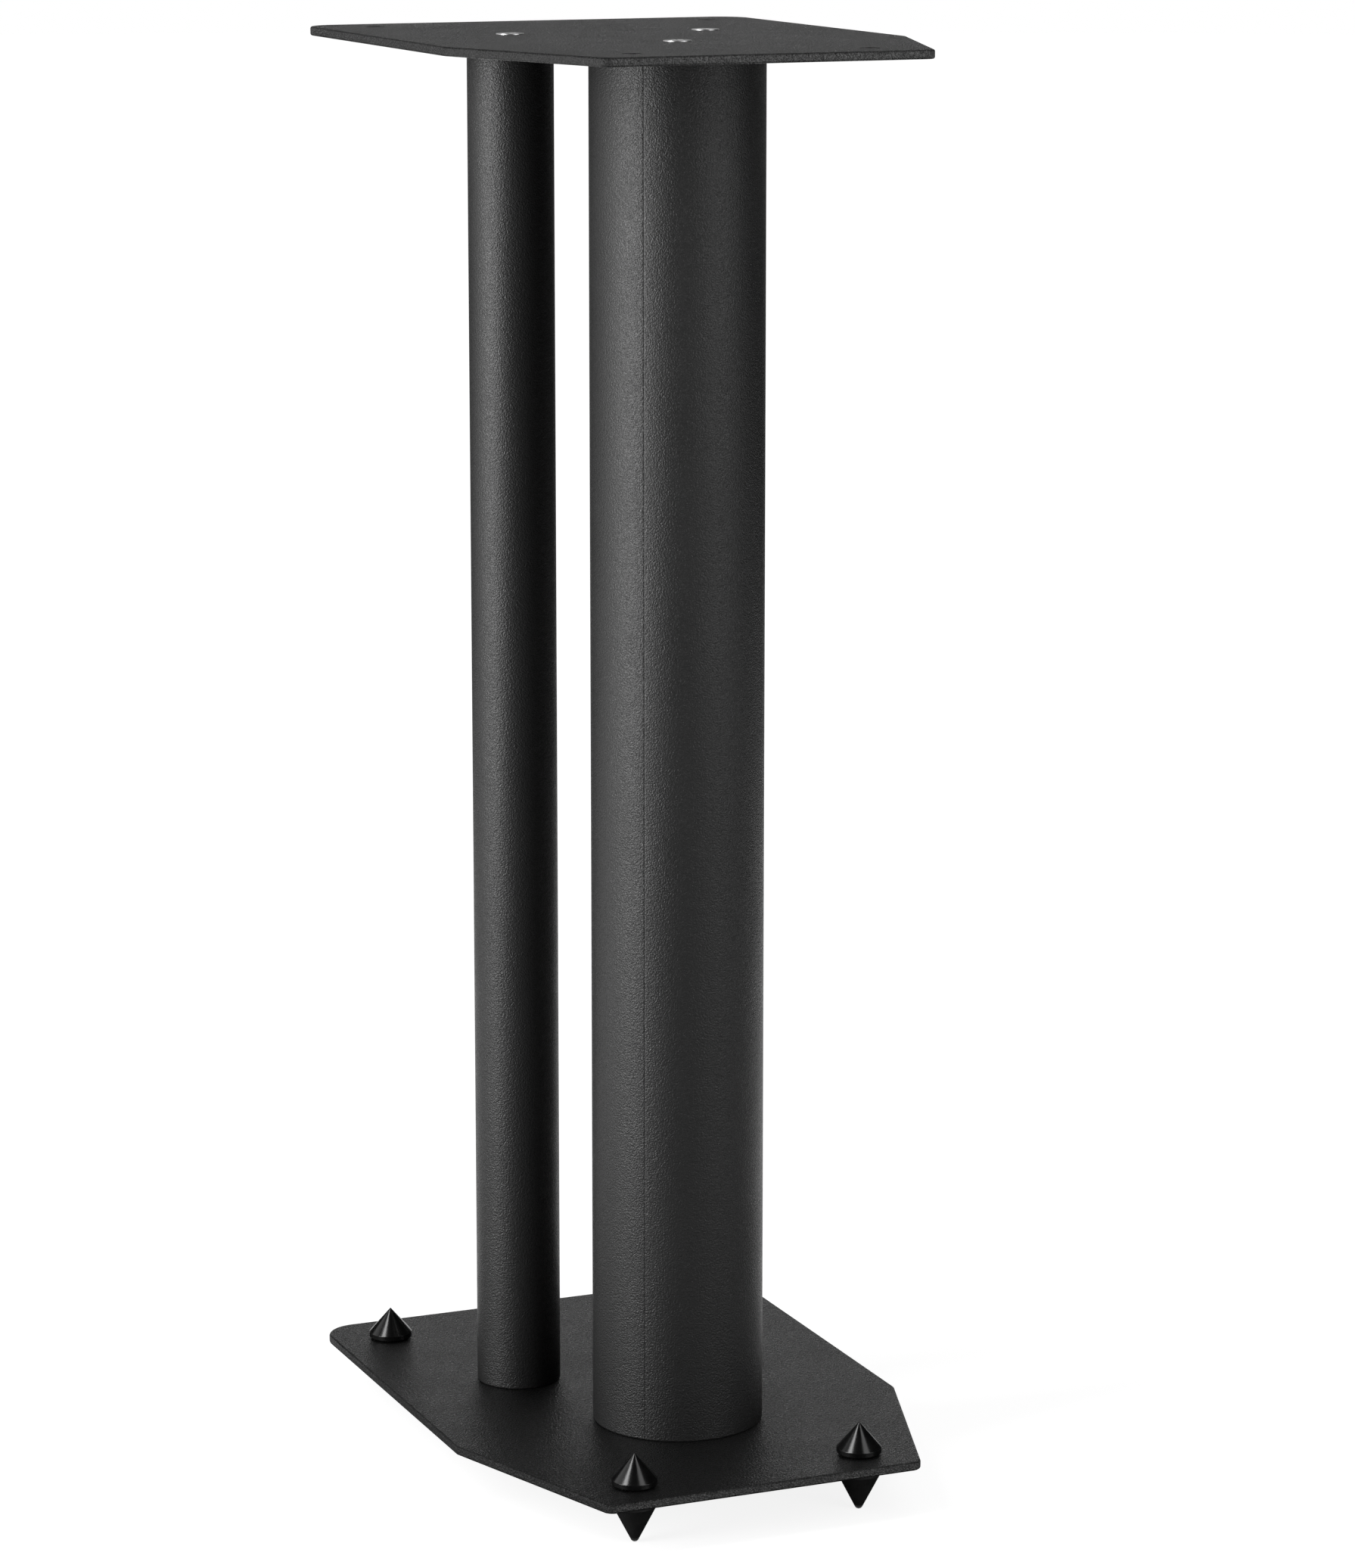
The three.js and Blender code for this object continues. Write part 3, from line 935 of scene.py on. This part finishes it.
def plate(node, seats_face_up):
    """A plate with its seven holes, in the place of its node."""
    low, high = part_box(node)
    thickness = height_of(node)
    bm = plate_slab(low, high)
    mark_highlit_cut_edge(bm, low, high)
    largest = sorted(bm.faces, key=lambda face: face.calc_area())[-2:]
    bmesh.ops.delete(bm, geom=largest, context="FACES_ONLY")
    seat = screw_seat(thickness)
    if not seats_face_up:
        seat = [(point[0], thickness - point[1], *point[2:]) for point in seat]
    for column in column_nodes:
        place = centre_and_radius(column)[0]
        hole_in(bm, (place.x, place.y, low.z), seat, COATED)
    for corner in corner_names:
        place = centre_and_radius(f"stud_{corner}")[0]
        hole_in(bm, (place.x, place.y, low.z), tapped_wall(thickness), BARE)
    close_face(bm, low.z)
    close_face(bm, high.z)
    bmesh.ops.remove_doubles(bm, verts=bm.verts, dist=MERGE_DISTANCE)
    bmesh.ops.recalc_face_normals(bm, faces=bm.faces)
    print(node, "has", open_edges(bm), "open edges")
    return bm


plates = []
for node, seats_face_up in (("top_plate", True), ("base_plate", False)):
    bm = plate(node, seats_face_up)
    piece = finished(bm, f"{node}_coated", plate_coat, "stand", node)
    piece.data.materials.append(plain_steel)
    plates.append(piece)

# %% [markdown]
# A flat plate seen at a low angle mirrors a soft box far more strongly than a tube does,
# and from the side it would turn white. Light linking tells a lamp which pieces it may
# light, so the tall left box leaves out the plates, and the weak one in its place lights
# only them.

# %% Which lamp lights the plates


def light_only(lamp, pieces, state):
    """Makes the lamp include or leave out these pieces."""
    listed = bpy.data.collections.new(f"{lamp.name}_list")
    for piece in pieces:
        listed.objects.link(piece)
    for member in listed.collection_objects:
        member.light_linking.link_state = state
    lamp.light_linking.receiver_collection = listed
    print(lamp.name, state.lower(), [piece.name for piece in pieces])


light_only(left_box, plates, "EXCLUDE")
light_only(plate_box, plates, "INCLUDE")

# %% [markdown]
# ## The screws
#
# A countersunk screw holds each plate to each tube. Its head stands a few tenths of a
# millimetre proud of its seat, which is what catches the light, and has a cross recess.
# The body is spun with its head left open, and its thread is a row of plain grooves.

# %% Section of a screw
SCREW_SHANK_RADIUS = 0.003
SCREW_THREAD_DEPTH = 0.0005
SCREW_THREAD_PITCH = 0.001
SCREW_HEAD_EDGE = 0.0004
SCREW_HEAD_PROUD = 0.0004
SCREW_CONE_ROUNDING = 0.0001
SCREW_EDGE_ROUNDING = 0.00012
ARC_MIDDLE = 0.3 * SCREW_EDGE_ROUNDING


def screw_section(length, head_radius):
    """The section of a screw from its tip up to the rim of its open head."""
    neck = length - SCREW_HEAD_EDGE - (head_radius - SCREW_SHANK_RADIUS)
    crown = length + SCREW_HEAD_PROUD
    root = SCREW_SHANK_RADIUS - SCREW_THREAD_DEPTH
    section = [(0, 0), (root, 0)]
    height = SCREW_THREAD_PITCH
    while height < neck - SCREW_THREAD_PITCH:
        section.append((SCREW_SHANK_RADIUS, height))
        section.append((root, height + SCREW_THREAD_PITCH / 2))
        height += SCREW_THREAD_PITCH
    return section + [
        (SCREW_SHANK_RADIUS, neck),
        (head_radius, length - SCREW_HEAD_EDGE, SCREW_CONE_ROUNDING),
        (head_radius, crown - SCREW_EDGE_ROUNDING),
        (head_radius - ARC_MIDDLE, crown - ARC_MIDDLE),
        (head_radius - SCREW_EDGE_ROUNDING, crown),
    ]


# %% [markdown]
# The cross is drawn inside the open rim as a square with four arms, a fill closes the
# ring between them, and the cross is then pushed down and drawn together, because the
# punch that makes it is tapered.

# %% The cross recess
CROSS_SPAN = 0.0064
CROSS_WIDTH = 0.0013
CROSS_DEPTH = 0.0021
CROSS_TAPER = 0.55


def draw_cross(bm, height):
    """Draws the cross as a small square with an arm pulled out of each side."""
    middle = bmesh.ops.create_grid(bm, x_segments=1, y_segments=1, size=CROSS_WIDTH / 2,
                                   matrix=Matrix.Translation((0, 0, height)))
    square = middle["verts"][0].link_faces[0]
    for side in list(square.edges):
        way = sum((vert.co for vert in side.verts), Vector()) / 2
        way.z = 0
        pulled = bmesh.ops.extrude_edge_only(bm, edges=[side])
        ends = [part for part in pulled["geom"] if isinstance(part, bmesh.types.BMVert)]
        arm = way.normalized() * (CROSS_SPAN - CROSS_WIDTH) / 2
        bmesh.ops.translate(bm, verts=ends, vec=arm)


def close_head(bm, crown):
    """Closes the open head at this height with a face that has the cross sunk into it."""
    draw_cross(bm, crown)
    rims = [edge for edge in bm.edges if edge.is_boundary]
    cross = [face for face in bm.faces
             if all(abs(vert.co.z - crown) < MERGE_DISTANCE for vert in face.verts)]
    bmesh.ops.triangle_fill(bm, use_beauty=True, use_dissolve=False, edges=rims)
    sunk = bmesh.ops.extrude_face_region(bm, geom=cross)
    bmesh.ops.delete(bm, geom=cross, context="FACES")
    floor_points = [part for part in sunk["geom"] if isinstance(part, bmesh.types.BMVert)]
    bmesh.ops.scale(bm, verts=floor_points, vec=(CROSS_TAPER, CROSS_TAPER, 1))
    bmesh.ops.translate(bm, verts=floor_points, vec=(0, 0, -CROSS_DEPTH))


# %% [markdown]
# There are six screws: one down through the top plate into each tube, and one up through
# the base plate. The lower ones are the same screw turned over.

# %% Six countersunk screws
SCREW_STEPS = 64


def screw(node, head_up):
    """A screw in the place of its node, with its head at the upper or lower end."""
    foot, head_radius = centre_and_radius(node)
    length = height_of(node)
    bm = bmesh.new()
    draw_profile(bm, screw_section(length, head_radius))
    spin_about_axis(bm, SCREW_STEPS)
    close_head(bm, length + SCREW_HEAD_PROUD)
    mark_rings(bm)
    if not head_up:
        bmesh.ops.rotate(bm, verts=bm.verts, matrix=Matrix.Rotation(math.pi, 3, "X"))
        bmesh.ops.translate(bm, verts=bm.verts, vec=(0, 0, length))
    bmesh.ops.recalc_face_normals(bm, faces=bm.faces)
    bmesh.ops.translate(bm, verts=bm.verts, vec=foot)
    print(node, "has", open_edges(bm), "open edges")
    return bm


for column in column_nodes:
    for end in ("top", "bottom"):
        node = f"{column}_{end}_screw"
        bm = screw(node, head_up=end == "top")
        finished(bm, f"{node}_plated", bright_zinc, "stand", node)

# %% [markdown]
# ## The end discs
#
# A disc closes each end of each tube and takes the screw. Nobody sees them once the stand
# is together, so the plain solids stay as they are and only get the steel finish. They
# carry no ring attribute, and the grooves then stay flat.

# %% End discs
for column in column_nodes:
    for end in ("top", "bottom"):
        disc = frame["nodes"][f"{column}_{end}_disc"]
        disc.data.materials.clear()
        disc.data.materials.append(plain_steel)
print("discs painted:", 2 * len(column_nodes))

# %% [markdown]
# ## Spikes, studs and lock cones
#
# At each corner of the base a threaded stud passes through the plate, a spike is screwed
# on below it and a cone-shaped nut locks it from above. Spike and cone are turned pieces
# with a blind hole for the stud and crisp edges. The spike has a rounded tip, which won't
# split a floor board, and the cone's point is blunt by a hair. A ring of points halfway
# up the cone's flank helps its shading to stay straight.

# %% Sections of spike and cone
SPIKE_RIM = 0.0019
SPIKE_TIP_RADIUS = 0.0019
SPIKE_TIP_STEPS = 6
SPIKE_HALF_ANGLE = math.radians(27)
SPIKE_HOLE_DEPTH = 0.0079
STUD_HOLE_RADIUS = 0.0043
CONE_RIM = 0.003
CONE_CHAMFER = 0.001
CONE_TIP_RADIUS = 0.0002
CONE_TIP_DROP = CONE_TIP_RADIUS / 3
CONE_HOLE_DEPTH = 0.008
EDGE_ROUNDING = 0.0002


def spike_section(height, radius):
    """The section of a spike from its tip up, out to the rim and down into its blind hole."""
    tip = []
    for step in range(SPIKE_TIP_STEPS + 1):
        turn = (math.pi / 2 - SPIKE_HALF_ANGLE) * step / SPIKE_TIP_STEPS
        tip.append((SPIKE_TIP_RADIUS * math.sin(turn), SPIKE_TIP_RADIUS * (1 - math.cos(turn))))
    return tip + [
        (radius, height - SPIKE_RIM, EDGE_ROUNDING),
        (radius, height, EDGE_ROUNDING),
        (STUD_HOLE_RADIUS, height, EDGE_ROUNDING),
        (STUD_HOLE_RADIUS, height - SPIKE_HOLE_DEPTH),
        (0, height - SPIKE_HOLE_DEPTH),
    ]


def cone_section(height, radius):
    """The section of a lock cone from the top of its blind hole, out, and up to its point."""
    slope = (height - CONE_RIM) / radius
    return [
        (0, CONE_HOLE_DEPTH),
        (STUD_HOLE_RADIUS, CONE_HOLE_DEPTH),
        (STUD_HOLE_RADIUS, 0, EDGE_ROUNDING),
        (radius - CONE_CHAMFER, 0, EDGE_ROUNDING),
        (radius, CONE_CHAMFER, EDGE_ROUNDING),
        (radius, CONE_RIM, EDGE_ROUNDING),
        (radius / 2, CONE_RIM + slope * radius / 2),
        (CONE_TIP_RADIUS, height - slope * CONE_TIP_RADIUS),
        (0, height - slope * CONE_TIP_DROP),
    ]


# %% [markdown]
# Spikes and cones move, each on a body of its own: the spike turns as it is screwed up or
# down, and the cone turns to lock it. A piece that rides its body follows every pose.

# %% Four spikes and four cones
TURNED_STEPS = 96
turned_kinds = (
    ("floor_spike", spike_section, satin_black, "satin_black"),
    ("lock_cone", cone_section, gloss_black, "gloss_black"),
)

for corner in corner_names:
    for kind, section, material, slot in turned_kinds:
        node = f"{kind}_{corner}"
        place, radius = centre_and_radius(node)
        body = frame["nodes"][node]["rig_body"]
        bm = turned(section(height_of(node), radius), TURNED_STEPS, place)
        finished(bm, f"{node}_turned", material, body, node)

# %% [markdown]
# The stud's thread shows in the gap between the plate and the spike, so it is a true
# screw thread: one turn of its section, spun round with a steady rise. The two ends are
# then cut off square and closed.

# %% Making a thread
STUD_STEPS_PER_TURN = 32
STUD_THREAD_DEPTH = 0.0007
CREST_STARTS = 0.45
CREST_ENDS = 0.55
COIL_MERGE_DISTANCE = MERGE_DISTANCE * 50
CUT_TOLERANCE = MERGE_DISTANCE * 10


def thread_coil(radius, turns):
    """A thread of this many turns that starts one turn below the origin, with open ends."""
    root = radius - STUD_THREAD_DEPTH
    start = -THREAD_PITCH
    bm = bmesh.new()
    draw_profile(bm, [
        (root, start),
        (radius, start + THREAD_PITCH * CREST_STARTS),
        (radius, start + THREAD_PITCH * CREST_ENDS),
        (root, start + THREAD_PITCH),
    ])
    rise = THREAD_PITCH / STUD_STEPS_PER_TURN
    bmesh.ops.spin(bm, geom=bm.verts[:] + bm.edges[:], cent=(0, 0, 0), axis=(0, 0, 1),
                   dvec=(0, 0, rise), angle=2 * math.pi * turns,
                   steps=STUD_STEPS_PER_TURN * turns, use_merge=False, use_duplicate=False)
    bmesh.ops.remove_doubles(bm, verts=bm.verts, dist=COIL_MERGE_DISTANCE)
    return bm


def cut_square(bm, level, keep_above):
    """Cuts the thread off at this height, keeps one side and closes the cut."""
    bmesh.ops.bisect_plane(bm, geom=bm.verts[:] + bm.edges[:] + bm.faces[:], dist=MERGE_DISTANCE,
                           plane_co=(0, 0, level), plane_no=(0, 0, 1),
                           clear_inner=keep_above, clear_outer=not keep_above)
    cut = [edge for edge in bm.edges if edge.is_boundary
           and all(abs(vert.co.z - level) < CUT_TOLERANCE for vert in edge.verts)]
    bmesh.ops.holes_fill(bm, edges=cut, sides=0)


# %% [markdown]
# A stud moves up and down with its spike, on its own body. Two spare turns of thread make
# sure that there is something to cut off at both ends.

# %% Four threaded studs
SPARE_TURNS = 2


def threaded_stud(node):
    """A stud with a helical thread in the place of its node."""
    foot, radius = centre_and_radius(node)
    length = height_of(node)
    turns = math.ceil(length / THREAD_PITCH) + SPARE_TURNS
    bm = thread_coil(radius, turns)
    cut_square(bm, 0, keep_above=True)
    cut_square(bm, length, keep_above=False)
    mark_rings(bm)
    bmesh.ops.recalc_face_normals(bm, faces=bm.faces)
    bmesh.ops.translate(bm, verts=bm.verts, vec=foot)
    print(node, "turns", turns, "open edges", open_edges(bm))
    return bm


for corner in corner_names:
    node = f"stud_{corner}"
    body = frame["nodes"][node]["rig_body"]
    finished(threaded_stud(node), f"{node}_threaded", plain_steel, body, node)

# %% [markdown]
# ## Colours as written
#
# The Standard view shows colours as they are written, with no film look on top. The last
# line prints how many pieces were made.

# %% Finish
bpy.context.scene.view_settings.view_transform = "Standard"
print("pieces made:", len(pieces_made))
